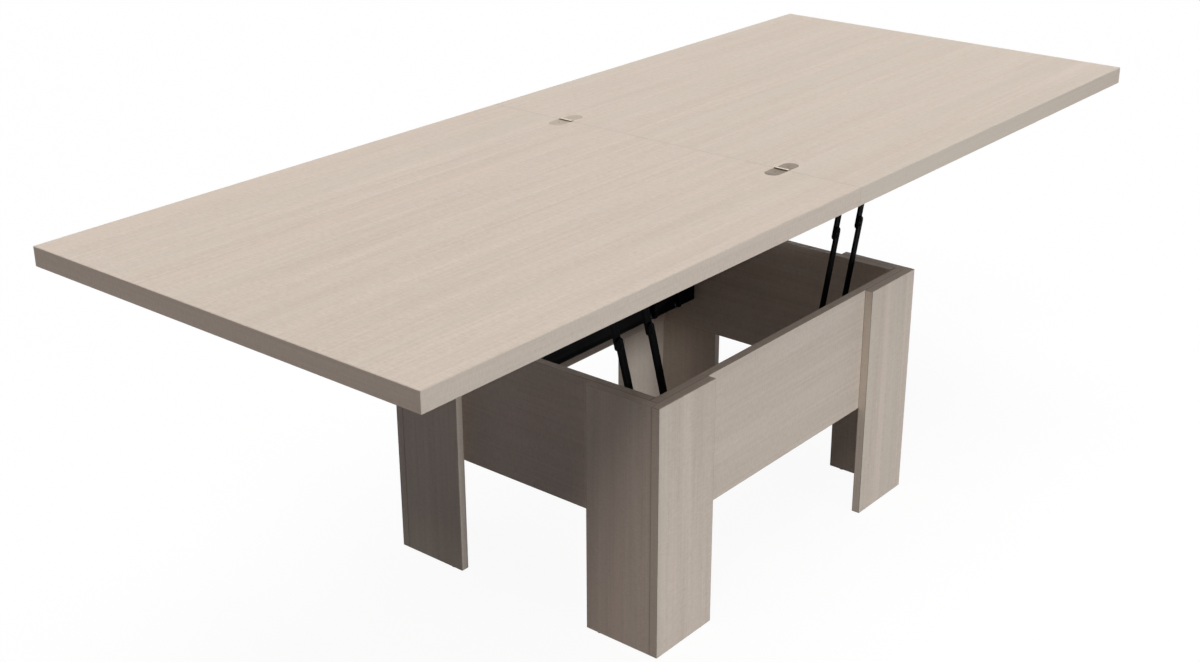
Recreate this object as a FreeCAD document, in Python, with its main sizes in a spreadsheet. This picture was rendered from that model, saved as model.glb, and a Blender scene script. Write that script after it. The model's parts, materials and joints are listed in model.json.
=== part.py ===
import FreeCAD, Part
import Sketcher
import math
import os
import re

# Lift-up table with a top that folds in two: a coffee table that becomes a dining table.
# Millimetres, +Z up, X along the top. The origin is on the floor, under the middle of the base.
# The table stands as it is used for dining: top raised, both leaves laid flat.
# The fixed leaf is at -X and rides on the lift arms. The folding leaf is at +X and is held up
# by a mirrored pair of support arms, whose carriage glides under the top.

SIZES = [
    ("leaf_length", 1000, "length of each leaf along X"),
    ("top_width", 800, "width of the top along Y"),
    ("leaf_thickness", 32, "thickness of a leaf"),
    ("top_height", 740, "top surface above the floor, raised"),
    ("seam_gap", 0.3, "hairline between the leaves"),
    ("leaf_round", 1, "rounding of the leaf edges"),
    ("base_length", 784, "base over the leg boards along X"),
    ("base_width", 592, "base over the leg boards along Y"),
    ("rim_height", 458, "upper edge of the base above the floor"),
    ("rim_clearance", 1, "room between the lowered top and the rim"),
    ("apron_height", 238, "height of the aprons"),
    ("board", 16, "thickness of the base boards"),
    ("board_round", 0.6, "rounding of the board edges"),
    ("leg_width", 150, "width of a leg on each of its two sides"),
    ("glide_height", 2, "height of the glides under the legs"),
    ("glide_radius", 7, "radius of a leg glide"),
    ("glide_inset", 25, "leg glide from the free edge of its board"),
    ("dowel_radius", 4, "radius of a wooden dowel"),
    ("dowel_length", 30, "length of a wooden dowel"),
    ("dowel_depth", 10, "part of a dowel that sits in the face of a board"),
    ("dowel_inset", 60, "dowels from the ends of a joint"),
    ("screw_radius", 2, "radius of a screw's shank"),
    ("screw_head_radius", 4, "radius of a screw's head"),
    ("screw_head_height", 2.5, "height of a screw's head"),
    ("screw_grip", 12, "depth of a screw in the board behind"),
    ("screw_inset", 38, "apron screws from the edges of the apron"),
    ("fit", 0.05, "radial clearance of a pin or a shank in its hole"),
    ("rail_inset", 74, "inner face of a base rail from the side apron"),
    ("rail_thickness", 4, "thickness of a base rail"),
    ("rail_height", 40, "height of a base rail"),
    ("rail_lift", 65, "lower edge of a base rail above that of the aprons"),
    ("tab_width", 30, "tab that screws a base rail to its apron"),
    ("tab_screw_pitch", 20, "distance between the two screws of a tab"),
    ("pivot_edge", 9, "lower pivots above the lower edge of the rails"),
    ("pivot_spacing", 80, "distance between the two arms of a pair"),
    ("arm_room", 5, "room between a raised arm and the rim of the end apron"),
    ("pin_radius", 4, "radius of a pivot pin"),
    ("pin_head_radius", 6, "radius of a pivot pin's head"),
    ("pin_head_height", 3, "height of a pivot pin's head"),
    ("collar_radius", 5.5, "radius of a pivot pin's riveted end"),
    ("collar_height", 2, "height of a pivot pin's riveted end"),
    ("collar_room", 1.2, "room between a riveted end and the flange above it"),
    ("side_play", 0.3, "room between an arm and a pin head"),
    ("washer_radius", 7.5, "radius of a spacer washer"),
    ("bar_width", 15, "width of the flat bars of the arms"),
    ("bar_thickness", 4, "thickness of the flat bars"),
    ("knee_distance", 248, "overlap of the two bars from the lower pivot"),
    ("rivet_pitch", 10, "distance between the rivets of an overlap"),
    ("rivet_radius", 2, "radius of a rivet"),
    ("rivet_head_radius", 3.8, "radius of a rivet head"),
    ("rivet_head_height", 1.5, "height of a rivet head"),
    ("rivet_gap", 1, "room between facing rivet heads"),
    ("stop_radius", 4, "radius of a stop pin"),
    ("stop_distance", 26, "stop pin from the pivot, along the arm"),
    ("stop_head", 0.5, "stop pin beyond the arm it stops"),
    ("tie_radius", 4.5, "radius of the rod between the lift arms"),
    ("tie_distance", 120, "tie rod from the lower pivot, along the arm"),
    ("angle_end", 20, "angle rails from the end aprons, top lowered"),
    ("angle_height", 28, "upright flange of an angle rail"),
    ("angle_width", 30, "flat flange of an angle rail"),
    ("angle_thickness", 4, "thickness of an angle rail"),
    ("flange_gap", 0.5, "room between an upper bar and its angle rail"),
    ("angle_screw_end", 40, "outer screws from the ends of an angle rail"),
    ("pad_length", 50, "length of a carriage glide pad"),
    ("pad_width", 20, "width of a carriage glide pad"),
    ("pad_thickness", 4, "thickness of a carriage glide pad"),
    ("pad_gap", 0.3, "room between the glide pads and the top"),
    ("pad_end", 60, "outer glide pads from the ends of a rail"),
    ("cross_width", 30, "width of the carriage's cross bars"),
    ("cross_thickness", 4, "thickness of the carriage's cross bars"),
    ("cross_inset", 100, "cross bars from the ends of the carriage"),
    ("cross_end", 5, "room between a cross bar and the upright flange"),
    ("hinge_inset_front", 153, "front hinge from the front edge of the top"),
    ("hinge_inset_back", 175, "back hinge from the back edge of the top"),
    ("hinge_length", 80, "length of an open hinge along X"),
    ("hinge_width", 28, "width of a hinge along Y"),
    ("hinge_thickness", 3, "thickness of a hinge plate"),
    ("hinge_gap", 0.2, "room around a hinge plate"),
    ("axis_lift", 0.1, "hinge axis above the top surface"),
    ("knuckle_radius", 2.6, "radius of the hinge knuckles"),
    ("knuckle_gap", 0.3, "room between hinge knuckles"),
    ("knuckle_length", 10, "length of the middle knuckle"),
    ("hinge_pin_radius", 1.2, "radius of a hinge pin"),
    ("hinge_pin_end", 1, "hinge pin beyond the knuckles"),
    ("hinge_screw", 19, "hinge screws from the seam"),
    ("hinge_screw_depth", 15, "depth of a hinge screw in its leaf"),
    ("countersink", 2.2, "height of a countersunk head"),
]

# Lengths that follow from the driving sizes
FORMULAS = {
    "half_length": "base_length / 2",
    "half_width": "base_width / 2",
    "apron_bottom": "rim_height - apron_height",
    "inside_x": "half_length - 2 * board",
    "inside_y": "half_width - 2 * board",
    "rail_bottom": "apron_bottom + rail_lift",
    "rail_offset": "inside_y - rail_inset",
    "web_out": "rail_offset + rail_thickness",
    "underside": "top_height - leaf_thickness",
    "carriage_top": "underside - pad_gap - pad_thickness",
    "pivot_height": "rail_bottom + pivot_edge",
    "upper_pivot": "carriage_top - angle_thickness - collar_room - collar_radius",
    "drop": "underside - rim_height - rim_clearance",
    "shift": "leaf_length / 2",
    "rise": "upper_pivot - pivot_height",
    "reach": "(drop ^ 2 + shift ^ 2 - 2 * rise * drop) / (2 * shift)",
    "lean": "atan(reach / rise)",
    "arm_length": "sqrt(rise ^ 2 + reach ^ 2)",
    "rim_reach": "((rim_height - pivot_height) * reach + bar_width / 2 * arm_length) / rise",
    "pivot_outer": "inside_x - arm_room - rim_reach",
    "pivot_inner": "pivot_outer - pivot_spacing",
    "washer": "(bar_thickness + 2 * rivet_head_height + rivet_gap - rail_thickness) / 2",
    "lift_lower": "web_out + washer",
    "lift_upper": "lift_lower - bar_thickness",
    "lift_flange": "lift_lower + flange_gap",
    "support_lower": "rail_offset - washer - bar_thickness",
    "support_upper": "support_lower - bar_thickness",
    "support_flange": "support_upper - flange_gap - angle_thickness",
    "lift_head": "lift_lower + bar_thickness + side_play",
    "support_head": "support_lower - side_play",
    "lift_upper_head": "lift_upper - side_play",
    "support_upper_head": "support_upper + bar_thickness + side_play",
    "lift_flange_out": "lift_flange + angle_thickness",
    "angle_length": "2 * (inside_x - angle_end)",
    "screw_pitch": "(angle_length - 2 * angle_screw_end) / 3",
    "pad_pitch": "angle_length / 2 - pad_end",
    "cross_offset": "angle_length / 2 - cross_inset",
    "knee_low": "knee_distance - rivet_pitch / 2",
    "knee_high": "knee_distance + rivet_pitch / 2",
    "pin_hole": "pin_radius + fit",
    "hinge_front": "hinge_inset_front - top_width / 2",
    "hinge_back": "top_width / 2 - hinge_inset_back",
    "hinge_axis": "top_height + axis_lift",
    "plate_bottom": "top_height - hinge_thickness",
    "knuckle_half": "knuckle_length / 2",
    "knuckle_room": "knuckle_radius + knuckle_gap",
}

SIDES = {"front": -1, "back": 1}
ENDS = {"left": -1, "right": 1}
ALONG = {
    "x": FreeCAD.Rotation(FreeCAD.Vector(0, 1, 0), 90),
    "y": FreeCAD.Rotation(FreeCAD.Vector(1, 0, 0), -90),
    "z": FreeCAD.Rotation(),
}

doc = FreeCAD.newDocument("LiftTable")
sheet = doc.addObject("Spreadsheet::Sheet", "Sizes")
for row, (alias, size, note) in enumerate(SIZES, start=1):
    sheet.set(f"A{row}", note)
    sheet.set(f"B{row}", str(size))
    sheet.setAlias(f"B{row}", alias)
doc.recompute()

ALIASES = {alias for alias, size, note in SIZES}
nodes = []


def cells(formula):
    """A formula in plain names, written out with the sheet's cells."""
    def cell(match):
        name = match.group(0)
        if name in FORMULAS:
            return f"({cells(FORMULAS[name])})"
        return f"Sizes.{name}" if name in ALIASES else name
    return re.sub(r"[a-z][a-z_]*", cell, str(formula))


def number(formula):
    return float(sheet.evalExpression(cells(formula)))


def bind(thing, path, formula):
    thing.setExpression(path, cells(formula))


def place(thing, x, y, z):
    for letter, formula in zip("xyz", (x, y, z)):
        bind(thing, f"Placement.Base.{letter}", formula)


def span(side, near, far):
    """Low and high end of a stretch that lies near to far from the middle, on one side of it."""
    return (near, far) if side > 0 else (f"-({far})", f"-({near})")


def centred(middle, length):
    return (f"{middle} - ({length}) / 2", f"{middle} + ({length}) / 2")


def extent(pair):
    return f"({pair[1]}) - ({pair[0]})"


def node(thing, label):
    thing.Label = label
    nodes.append(thing)
    return thing


# Shapes that pieces are made of
def box(x, y, z):
    piece = doc.addObject("Part::Box", "Block")
    for side, pair in zip(("Length", "Width", "Height"), (x, y, z)):
        bind(piece, side, extent(pair))
    place(piece, x[0], y[0], z[0])
    return piece


def rod(axis, x, y, z, radius):
    """A cylinder along one axis: that axis has its low and high end, the others the centre."""
    piece = doc.addObject("Part::Cylinder", "Rod")
    piece.Placement = FreeCAD.Placement(FreeCAD.Vector(), ALONG[axis])
    ends = {"x": x, "y": y, "z": z}[axis]
    bind(piece, "Radius", radius)
    bind(piece, "Height", extent(ends))
    starts = [ends[0] if axis == letter else value for letter, value in zip("xyz", (x, y, z))]
    place(piece, *starts)
    return piece


def cone(x, y, z, low_radius, high_radius):
    piece = doc.addObject("Part::Cone", "Taper")
    bind(piece, "Radius1", low_radius)
    bind(piece, "Radius2", high_radius)
    bind(piece, "Height", extent(z))
    place(piece, x, y, z[0])
    return piece


def fuse(pieces):
    joined = doc.addObject("Part::MultiFuse", "Joined")
    joined.Shapes = pieces
    joined.Refine = True
    return joined


def cut(base, tools):
    result = doc.addObject("Part::Cut", "Machined")
    result.Base = base
    result.Tool = tools[0] if len(tools) == 1 else fuse(tools)
    result.Refine = True
    return result


def group(pieces):
    together = doc.addObject("Part::Compound", "Set")
    together.Links = pieces
    return together


def new_sketch(body, role):
    sketch = body.newObject("Sketcher::SketchObject", "Outline")
    plane = next(part for part in body.Origin.OriginFeatures if part.Role == role)
    sketch.AttachmentSupport = (plane, [""])
    sketch.MapMode = "FlatFace"
    return sketch


def constrain(sketch, *words, formula=None):
    index = sketch.addConstraint(Sketcher.Constraint(*words))
    if formula is not None:
        bind(sketch, f"Constraints[{index}]", formula)


def panel(x, y, z, rounding, square_end=None):
    """A board with slightly rounded edges. One end, low or high in X, can stay square."""
    body = doc.addObject("PartDesign::Body", "Panel")
    sketch = new_sketch(body, "XY_Plane")
    long, wide = number(extent(x)), number(extent(y))
    corners = [(0, 0), (long, 0), (long, wide), (0, wide)]
    points = [FreeCAD.Vector(*corner, 0) for corner in corners]
    lines = [sketch.addGeometry(Part.LineSegment(points[i], points[(i + 1) % 4])) for i in range(4)]
    for i, line in enumerate(lines):
        constrain(sketch, "Coincident", line, 2, lines[(i + 1) % 4], 1)
        constrain(sketch, "Vertical" if i % 2 else "Horizontal", line)
    constrain(sketch, "Coincident", lines[0], 1, *sketch_origin())
    constrain(sketch, "DistanceX", lines[0], 1, lines[0], 2, long, formula=extent(x))
    constrain(sketch, "DistanceY", lines[1], 1, lines[1], 2, wide, formula=extent(y))
    pad = body.newObject("PartDesign::Pad", "Board")
    pad.Profile = sketch
    bind(pad, "Length", extent(z))
    doc.recompute()
    soft = body.newObject("PartDesign::Fillet", "SoftEdges")
    square_x = {"low": 0, "high": long}.get(square_end)
    edges = enumerate(pad.Shape.Edges, start=1)
    soft.Base = (pad, [f"Edge{i}" for i, edge in edges if not lies_at(edge, square_x)])
    bind(soft, "Radius", rounding)
    place(body, x[0], y[0], z[0])
    return body


def lies_at(edge, x):
    """Whether a straight edge lies across X at this place, if one is given."""
    return x is not None and all(abs(vertex.X - x) < 0.001 for vertex in edge.Vertexes)


def flat_bar(low, high, holes, end, pivot_x, y):
    """A flat bar with round ends, seen along Y. Its own upright axis runs through the pivot,
    and it leans outwards from there towards the given end of the table."""
    body = doc.addObject("PartDesign::Body", "Bar")
    sketch = new_sketch(body, "XZ_Plane")
    half, bottom, top = number("bar_width / 2"), number(low), number(high)
    up = FreeCAD.Vector(0, 0, 1)
    cap = Part.Circle(FreeCAD.Vector(0, top, 0), up, half)
    toe = Part.Circle(FreeCAD.Vector(0, bottom, 0), up, half)
    cap = sketch.addGeometry(Part.ArcOfCircle(cap, 0, math.pi))
    toe = sketch.addGeometry(Part.ArcOfCircle(toe, math.pi, 2 * math.pi))
    left = Part.LineSegment(FreeCAD.Vector(-half, top, 0), FreeCAD.Vector(-half, bottom, 0))
    right = Part.LineSegment(FreeCAD.Vector(half, bottom, 0), FreeCAD.Vector(half, top, 0))
    left, right = sketch.addGeometry(left), sketch.addGeometry(right)
    for first, second in ((cap, left), (left, toe), (toe, right), (right, cap)):
        constrain(sketch, "Tangent", first, 2, second, 1)
    constrain(sketch, "Vertical", left)
    constrain(sketch, "Radius", cap, half, formula="bar_width / 2")
    centre_on_axis(sketch, cap, high)
    centre_on_axis(sketch, toe, low)
    for height, radius in holes:
        circle = Part.Circle(FreeCAD.Vector(0, number(height), 0), up, number(radius))
        hole = sketch.addGeometry(circle)
        constrain(sketch, "Radius", hole, number(radius), formula=radius)
        centre_on_axis(sketch, hole, height)
    pad = body.newObject("PartDesign::Pad", "Flat")
    pad.Profile = sketch
    pad.Reversed = True
    bind(pad, "Length", "bar_thickness")
    lean_axis = FreeCAD.Vector(0, end, 0)
    body.Placement = FreeCAD.Placement(FreeCAD.Vector(), FreeCAD.Rotation(lean_axis, number("lean")))
    bind(body, "Placement.Rotation.Angle", "lean")
    place(body, f"{end} * ({pivot_x})", y[0], "pivot_height")
    return body


def sketch_origin():
    """Geometry and point numbers of a sketch's own origin."""
    return -1, 1


def centre_on_axis(sketch, curve, height):
    """Put the centre of a round at a height on the sketch's upright axis."""
    centre, upright_axis = 3, -2
    if height == "0":
        constrain(sketch, "Coincident", curve, centre, *sketch_origin())
        return
    constrain(sketch, "PointOnObject", curve, centre, upright_axis)
    constrain(sketch, "DistanceY", *sketch_origin(), curve, centre, number(height), formula=height)


def on_arm(end, pivot_x, distance, aside="0"):
    """X and Z of a point along a leaning arm, and aside from its middle line, outwards."""
    x = f"{end} * ({pivot_x} + ({distance}) * sin(lean) + ({aside}) * cos(lean))"
    z = f"pivot_height + ({distance}) * cos(lean) - ({aside}) * sin(lean)"
    return x, z


# Wooden base: two boards to a leg, and four aprons inside them
LEG_Z = ("glide_height", "rim_height")
APRON_Z = ("apron_bottom", "rim_height")
LEG_JOINT, APRON_JOINT = "half_width - board", "inside_y"


def frame_dowels():
    """Each dowel's centre in X and Z, its side, and the joint face that it crosses in Y."""
    for end in ENDS.values():
        for side in SIDES.values():
            for height in ("glide_height + dowel_inset", "apron_bottom - dowel_inset"):
                yield end, side, f"{end} * (half_length - board / 2)", height, LEG_JOINT
            for height in ("apron_bottom + dowel_inset", "rim_height - dowel_inset"):
                yield end, side, f"{end} * (inside_x + board / 2)", height, APRON_JOINT


def dowel(row, radius, spare="0"):
    end, side, x, z, face = row
    far = f"{face} + dowel_depth + {spare}"
    near = f"{face} + dowel_depth - dowel_length - {spare}"
    return rod("y", x, span(side, near, far), z, radius)


def apron_screws():
    """Side, axis and centre of each screw that holds a leg board to its apron from inside."""
    for end in ENDS.values():
        for side in SIDES.values():
            for z in ("apron_bottom + screw_inset", "rim_height - screw_inset"):
                x = f"{end} * (half_length - leg_width / 2)"
                y = f"{side} * (half_width - (leg_width + board) / 2)"
                yield "y", end, side, x, span(side, "inside_y", "half_width - board + screw_grip"), z
                yield "x", end, side, span(end, "inside_x", "half_length - board + screw_grip"), y, z


def apron_screw(row):
    axis, end, side, x, y, z = row
    shank = rod(axis, x, y, z, "screw_radius")
    if axis == "y":
        head = rod(axis, x, span(side, "inside_y - screw_head_height", "inside_y"), z, "screw_head_radius")
    else:
        head = rod(axis, span(end, "inside_x - screw_head_height", "inside_x"), y, z, "screw_head_radius")
    return fuse([shank, head])


def tab_screws(side):
    """Y and Z of the two screws in each tab of a base rail."""
    y = f"{side} * (web_out + tab_width / 2)"
    return [(y, f"rail_bottom + (rail_height + {step} * tab_screw_pitch) / 2") for step in (-1, 1)]


DOWELS = list(frame_dowels())
APRON_SCREWS = list(apron_screws())


def holes_for(joint, axis, ends, sides):
    """Dowel and screw holes of the boards that meet in a joint at these ends and sides."""
    holes = []
    for row in DOWELS:
        end, side, x, z, face = row
        if face == joint and end in ends and side in sides:
            holes.append(dowel(row, "dowel_radius + fit", "fit"))
    for screw_axis, end, side, x, y, z in APRON_SCREWS:
        if screw_axis == axis and end in ends and side in sides:
            holes.append(rod(axis, x, y, z, "screw_radius + fit"))
    return holes


glides = []
for end_name, end in ENDS.items():
    for side_name, side in SIDES.items():
        corner = f"{side_name}_{end_name}"
        face_x = span(end, "half_length - leg_width", "half_length")
        face = panel(face_x, span(side, "half_width - board", "half_width"), LEG_Z, "board_round")
        node(cut(face, holes_for(LEG_JOINT, "y", [end], [side])), f"leg_face_{corner}")
        side_x = span(end, "half_length - board", "half_length")
        side_y = span(side, "half_width - leg_width", "half_width - board")
        flank = panel(side_x, side_y, LEG_Z, "board_round")
        node(cut(flank, holes_for(LEG_JOINT, "x", [end], [side])), f"leg_side_{corner}")
        free_x = f"{end} * (half_length - leg_width + glide_inset)"
        free_y = f"{side} * (half_width - leg_width + glide_inset)"
        under_face = (free_x, f"{side} * (half_width - board / 2)")
        under_side = (f"{end} * (half_length - board / 2)", free_y)
        for x, y in (under_face, under_side):
            glides.append(rod("z", x, y, ("0", "glide_height"), "glide_radius"))
node(group(glides), "leg_glides")

for side_name, side in SIDES.items():
    apron_y = span(side, "inside_y", "inside_y + board")
    apron = panel(("-(inside_x + board)", "inside_x + board"), apron_y, APRON_Z, "board_round")
    node(cut(apron, holes_for(APRON_JOINT, "y", ENDS.values(), [side])), f"apron_{side_name}")
for end_name, end in ENDS.items():
    apron_x = span(end, "inside_x", "inside_x + board")
    apron = panel(apron_x, ("-inside_y", "inside_y"), APRON_Z, "board_round")
    grip_x = span(end, "inside_x", "inside_x + screw_grip")
    screw_places = [place for side in SIDES.values() for place in tab_screws(side)]
    tab_holes = [rod("x", grip_x, y, z, "screw_radius + fit") for y, z in screw_places]
    node(cut(apron, holes_for(APRON_JOINT, "x", [end], SIDES.values()) + tab_holes), f"apron_{end_name}")
node(group([dowel(row, "dowel_radius") for row in DOWELS]), "frame_dowels")
node(group([apron_screw(row) for row in APRON_SCREWS]), "apron_screws")


# Base rails: flat bars between the end aprons, with a bent tab at each end
RAIL_Z = ("rail_bottom", "rail_bottom + rail_height")
PIVOTS = {"outer": "pivot_outer", "inner": "pivot_inner"}
UNITS = {"lift": ENDS["left"], "support": ENDS["right"]}
STOP_ASIDE = "bar_width / 2 + stop_radius + side_play"
# From the middle of the table outwards: the lift arms run outside the rails, the support arms inside
LOWER_PIVOT_Y = {
    "lift": {
        "shank": ("rail_offset - collar_height", "lift_head"),
        "head": ("lift_head", "lift_head + pin_head_height"),
        "collar": ("rail_offset - collar_height", "rail_offset"),
        "washer": ("web_out", "lift_lower"),
        "stop": ("rail_offset", "lift_lower + bar_thickness + stop_head"),
    },
    "support": {
        "shank": ("support_head", "web_out + collar_height"),
        "head": ("support_head - pin_head_height", "support_head"),
        "collar": ("web_out", "web_out + collar_height"),
        "washer": ("support_lower + bar_thickness", "rail_offset"),
        "stop": ("support_lower - stop_head", "web_out"),
    },
}


def pivot_pin(x, z, side, layout):
    radii = {"shank": "pin_radius", "head": "pin_head_radius", "collar": "collar_radius"}
    return fuse([rod("y", x, span(side, *layout[part]), z, radius) for part, radius in radii.items()])


def ring(x, z, y):
    return cut(rod("y", x, y, z, "washer_radius"), [rod("y", x, y, z, "pin_hole")])


rail_screws, stop_pins, washers = [], [], []
lower_pins = {"lift": [], "support": []}
for side_name, side in SIDES.items():
    web_y = span(side, "rail_offset", "web_out")
    solids, holes = [box(("-inside_x", "inside_x"), web_y, RAIL_Z)], []
    for end in ENDS.values():
        tab_x = span(end, "inside_x - rail_thickness", "inside_x")
        solids.append(box(tab_x, span(side, "web_out", "web_out + tab_width"), RAIL_Z))
        shank_x = span(end, "inside_x - rail_thickness", "inside_x + screw_grip")
        head_x = span(end, "inside_x - rail_thickness - screw_head_height", "inside_x - rail_thickness")
        for y, z in tab_screws(side):
            holes.append(rod("x", tab_x, y, z, "screw_radius + fit"))
            shank = rod("x", shank_x, y, z, "screw_radius")
            rail_screws.append(fuse([shank, rod("x", head_x, y, z, "screw_head_radius")]))
    for unit, end in UNITS.items():
        layout = LOWER_PIVOT_Y[unit]
        for distance in PIVOTS.values():
            x = f"{end} * ({distance})"
            holes.append(rod("y", x, web_y, "pivot_height", "pin_hole"))
            lower_pins[unit].append(pivot_pin(x, "pivot_height", side, layout))
            washers.append(ring(x, "pivot_height", span(side, *layout["washer"])))
        stop_x, stop_z = on_arm(end, "pivot_outer", "stop_distance", STOP_ASIDE)
        holes.append(rod("y", stop_x, web_y, stop_z, "stop_radius + fit"))
        stop_pins.append(rod("y", stop_x, span(side, *layout["stop"]), stop_z, "stop_radius"))
    node(cut(fuse(solids), holes), f"base_rail_{side_name}")
node(group(rail_screws), "base_rail_screws")
node(group(stop_pins), "stop_pins")
node(group(washers), "pivot_washers")
for unit, pins in lower_pins.items():
    node(group(pins), f"{unit}_lower_pins")


# Arms: each is a lower and an upper flat bar, overlapped and riveted
ARM_Y = {
    "lift": {"lower": "lift_lower", "upper": "lift_upper"},
    "support": {"lower": "support_lower", "upper": "support_upper"},
}
RIVET_HOLES = [("knee_low", "rivet_radius + fit"), ("knee_high", "rivet_radius + fit")]
for unit, end in UNITS.items():
    for arm, pivot_x in PIVOTS.items():
        rivets = []
        for side_name, side in SIDES.items():
            lower_y = span(side, ARM_Y[unit]["lower"], f"{ARM_Y[unit]['lower']} + bar_thickness")
            upper_y = span(side, ARM_Y[unit]["upper"], f"{ARM_Y[unit]['upper']} + bar_thickness")
            lower_holes = [("0", "pin_hole")] + RIVET_HOLES
            if (unit, arm) == ("lift", "outer"):
                lower_holes.append(("tie_distance", "tie_radius + fit"))
            upper_holes = [("arm_length", "pin_hole")] + RIVET_HOLES
            lower = flat_bar("0", "knee_high", lower_holes, end, pivot_x, lower_y)
            upper = flat_bar("knee_low", "arm_length", upper_holes, end, pivot_x, upper_y)
            node(lower, f"{unit}_{arm}_lower_bar_{side_name}")
            node(upper, f"{unit}_{arm}_upper_bar_{side_name}")
            inner = ARM_Y[unit]["upper"]
            outer = f"{ARM_Y[unit]['lower']} + bar_thickness"
            for distance in ("knee_low", "knee_high"):
                x, z = on_arm(end, pivot_x, distance)
                shank = rod("y", x, span(side, inner, outer), z, "rivet_radius")
                heads = [span(side, f"{inner} - rivet_head_height", inner),
                         span(side, outer, f"{outer} + rivet_head_height")]
                rivets.append(fuse([shank] + [rod("y", x, y, z, "rivet_head_radius") for y in heads]))
        node(group(rivets), f"{unit}_{arm}_rivets")
tie_x, tie_z = on_arm(ENDS["left"], "pivot_outer", "tie_distance")
tie_y = ("-(lift_lower + bar_thickness)", "lift_lower + bar_thickness")
node(rod("y", tie_x, tie_y, tie_z, "tie_radius"), "lift_tie_rod")


# Angle rails: one pair screwed under the fixed leaf, one pair in the carriage that glides under the top
ANGLES = {
    "lift": {
        "upright": ("lift_flange", "lift_flange_out"),
        "flat": ("lift_flange", "lift_flange + angle_width"),
        "top": "underside",
        "shank": ("lift_upper_head", "lift_flange_out + collar_height"),
        "head": ("lift_upper_head - pin_head_height", "lift_upper_head"),
        "collar": ("lift_flange_out", "lift_flange_out + collar_height"),
    },
    "support": {
        "upright": ("support_flange", "support_flange + angle_thickness"),
        "flat": ("support_flange + angle_thickness - angle_width", "support_flange + angle_thickness"),
        "top": "carriage_top",
        "shank": ("support_flange - collar_height", "support_upper_head"),
        "head": ("support_upper_head", "support_upper_head + pin_head_height"),
        "collar": ("support_flange - collar_height", "support_flange"),
    },
}
ANGLE_SCREWS = [f"{step} * screw_pitch / 2" for step in (-3, -1, 1, 3)]
upper_pins = {"lift": [], "support": []}
angle_screws, leaf_holes, pads = [], [], []


def angle_rail(unit, end, side, screw_holes):
    layout = ANGLES[unit]
    top = layout["top"]
    rail_x = centred(f"{end} * shift", "angle_length")
    upright_y = span(side, *layout["upright"])
    upright = box(rail_x, upright_y, (f"{top} - angle_height", top))
    flat = box(rail_x, span(side, *layout["flat"]), (f"{top} - angle_thickness", top))
    holes = list(screw_holes)
    for pivot_x in PIVOTS.values():
        x = f"{end} * ({pivot_x} + reach)"
        holes.append(rod("y", x, upright_y, "upper_pivot", "pin_hole"))
        upper_pins[unit].append(pivot_pin(x, "upper_pivot", side, layout))
    return cut(fuse([upright, flat]), holes)


for side_name, side in SIDES.items():
    end = UNITS["lift"]
    y = f"{side} * (lift_flange_out + (angle_width - angle_thickness) / 2)"
    low = "underside - angle_thickness"
    screw_holes = []
    for step in ANGLE_SCREWS:
        x = f"{end} * shift + {step}"
        screw_holes.append(rod("z", x, y, (low, "underside"), "screw_radius + fit"))
        leaf_holes.append(rod("z", x, y, ("underside", "underside + screw_grip"), "screw_radius + fit"))
        shank = rod("z", x, y, (low, "underside + screw_grip"), "screw_radius")
        head = rod("z", x, y, (f"{low} - screw_head_height", low), "screw_head_radius")
        angle_screws.append(fuse([shank, head]))
    node(angle_rail("lift", end, side, screw_holes), f"lift_angle_{side_name}")

    end = UNITS["support"]
    node(angle_rail("support", end, side, []), f"support_angle_{side_name}")
    pad_y = centred(f"{side} * (support_flange - (angle_width - angle_thickness) / 2)", "pad_width")
    for step in (-1, 0, 1):
        pad_x = centred(f"{end} * shift + {step} * pad_pitch", "pad_length")
        pads.append(box(pad_x, pad_y, ("carriage_top", "carriage_top + pad_thickness")))
node(group(angle_screws), "lift_angle_screws")
node(group(pads), "carriage_pads")
for unit, pins in upper_pins.items():
    node(group(pins), f"{unit}_upper_pins")
cross_z = ("carriage_top - angle_thickness - cross_thickness", "carriage_top - angle_thickness")
cross_y = ("-(support_flange - cross_end)", "support_flange - cross_end")
for name, step in (("inner", -1), ("outer", 1)):
    cross_x = centred(f"shift + {step} * cross_offset", "cross_width")
    node(box(cross_x, cross_y, cross_z), f"carriage_cross_bar_{name}")


# Flush hinges: two half plates with knuckles around a pin, let into the top
HINGE_Y = ["hinge_front", "hinge_back"]


def half_plate(end, y, spare, depth):
    """Outline of half a hinge, rounded at its far end, with spare room all round."""
    z = (f"top_height - {depth}", "top_height")
    round_x = f"{end} * (hinge_length - hinge_width) / 2"
    straight_x = span(end, "seam_gap / 2", "(hinge_length - hinge_width) / 2")
    straight = box(straight_x, centred(y, f"hinge_width + 2 * {spare}"), z)
    return fuse([straight, rod("z", round_x, y, z, f"hinge_width / 2 + {spare}")])


def knuckle(y_from, y_to, y, radius):
    return rod("y", "0", (f"{y} + {y_from}", f"{y} + {y_to}"), "hinge_axis", radius)


MIDDLE = ("-(knuckle_half - knuckle_gap / 2)", "knuckle_half - knuckle_gap / 2")
MIDDLE_ROOM = ("-(knuckle_half + knuckle_gap / 2)", "knuckle_half + knuckle_gap / 2")
LOW = ("-hinge_width / 2", "-(knuckle_half + knuckle_gap / 2)")
HIGH = ("knuckle_half + knuckle_gap / 2", "hinge_width / 2")
LOW_ROOM = ("-(hinge_width / 2 + hinge_gap)", "-(knuckle_half - knuckle_gap / 2)")
HIGH_ROOM = ("knuckle_half - knuckle_gap / 2", "hinge_width / 2 + hinge_gap")
WHOLE = ("-(hinge_width / 2 + hinge_pin_end)", "hinge_width / 2 + hinge_pin_end")


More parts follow.
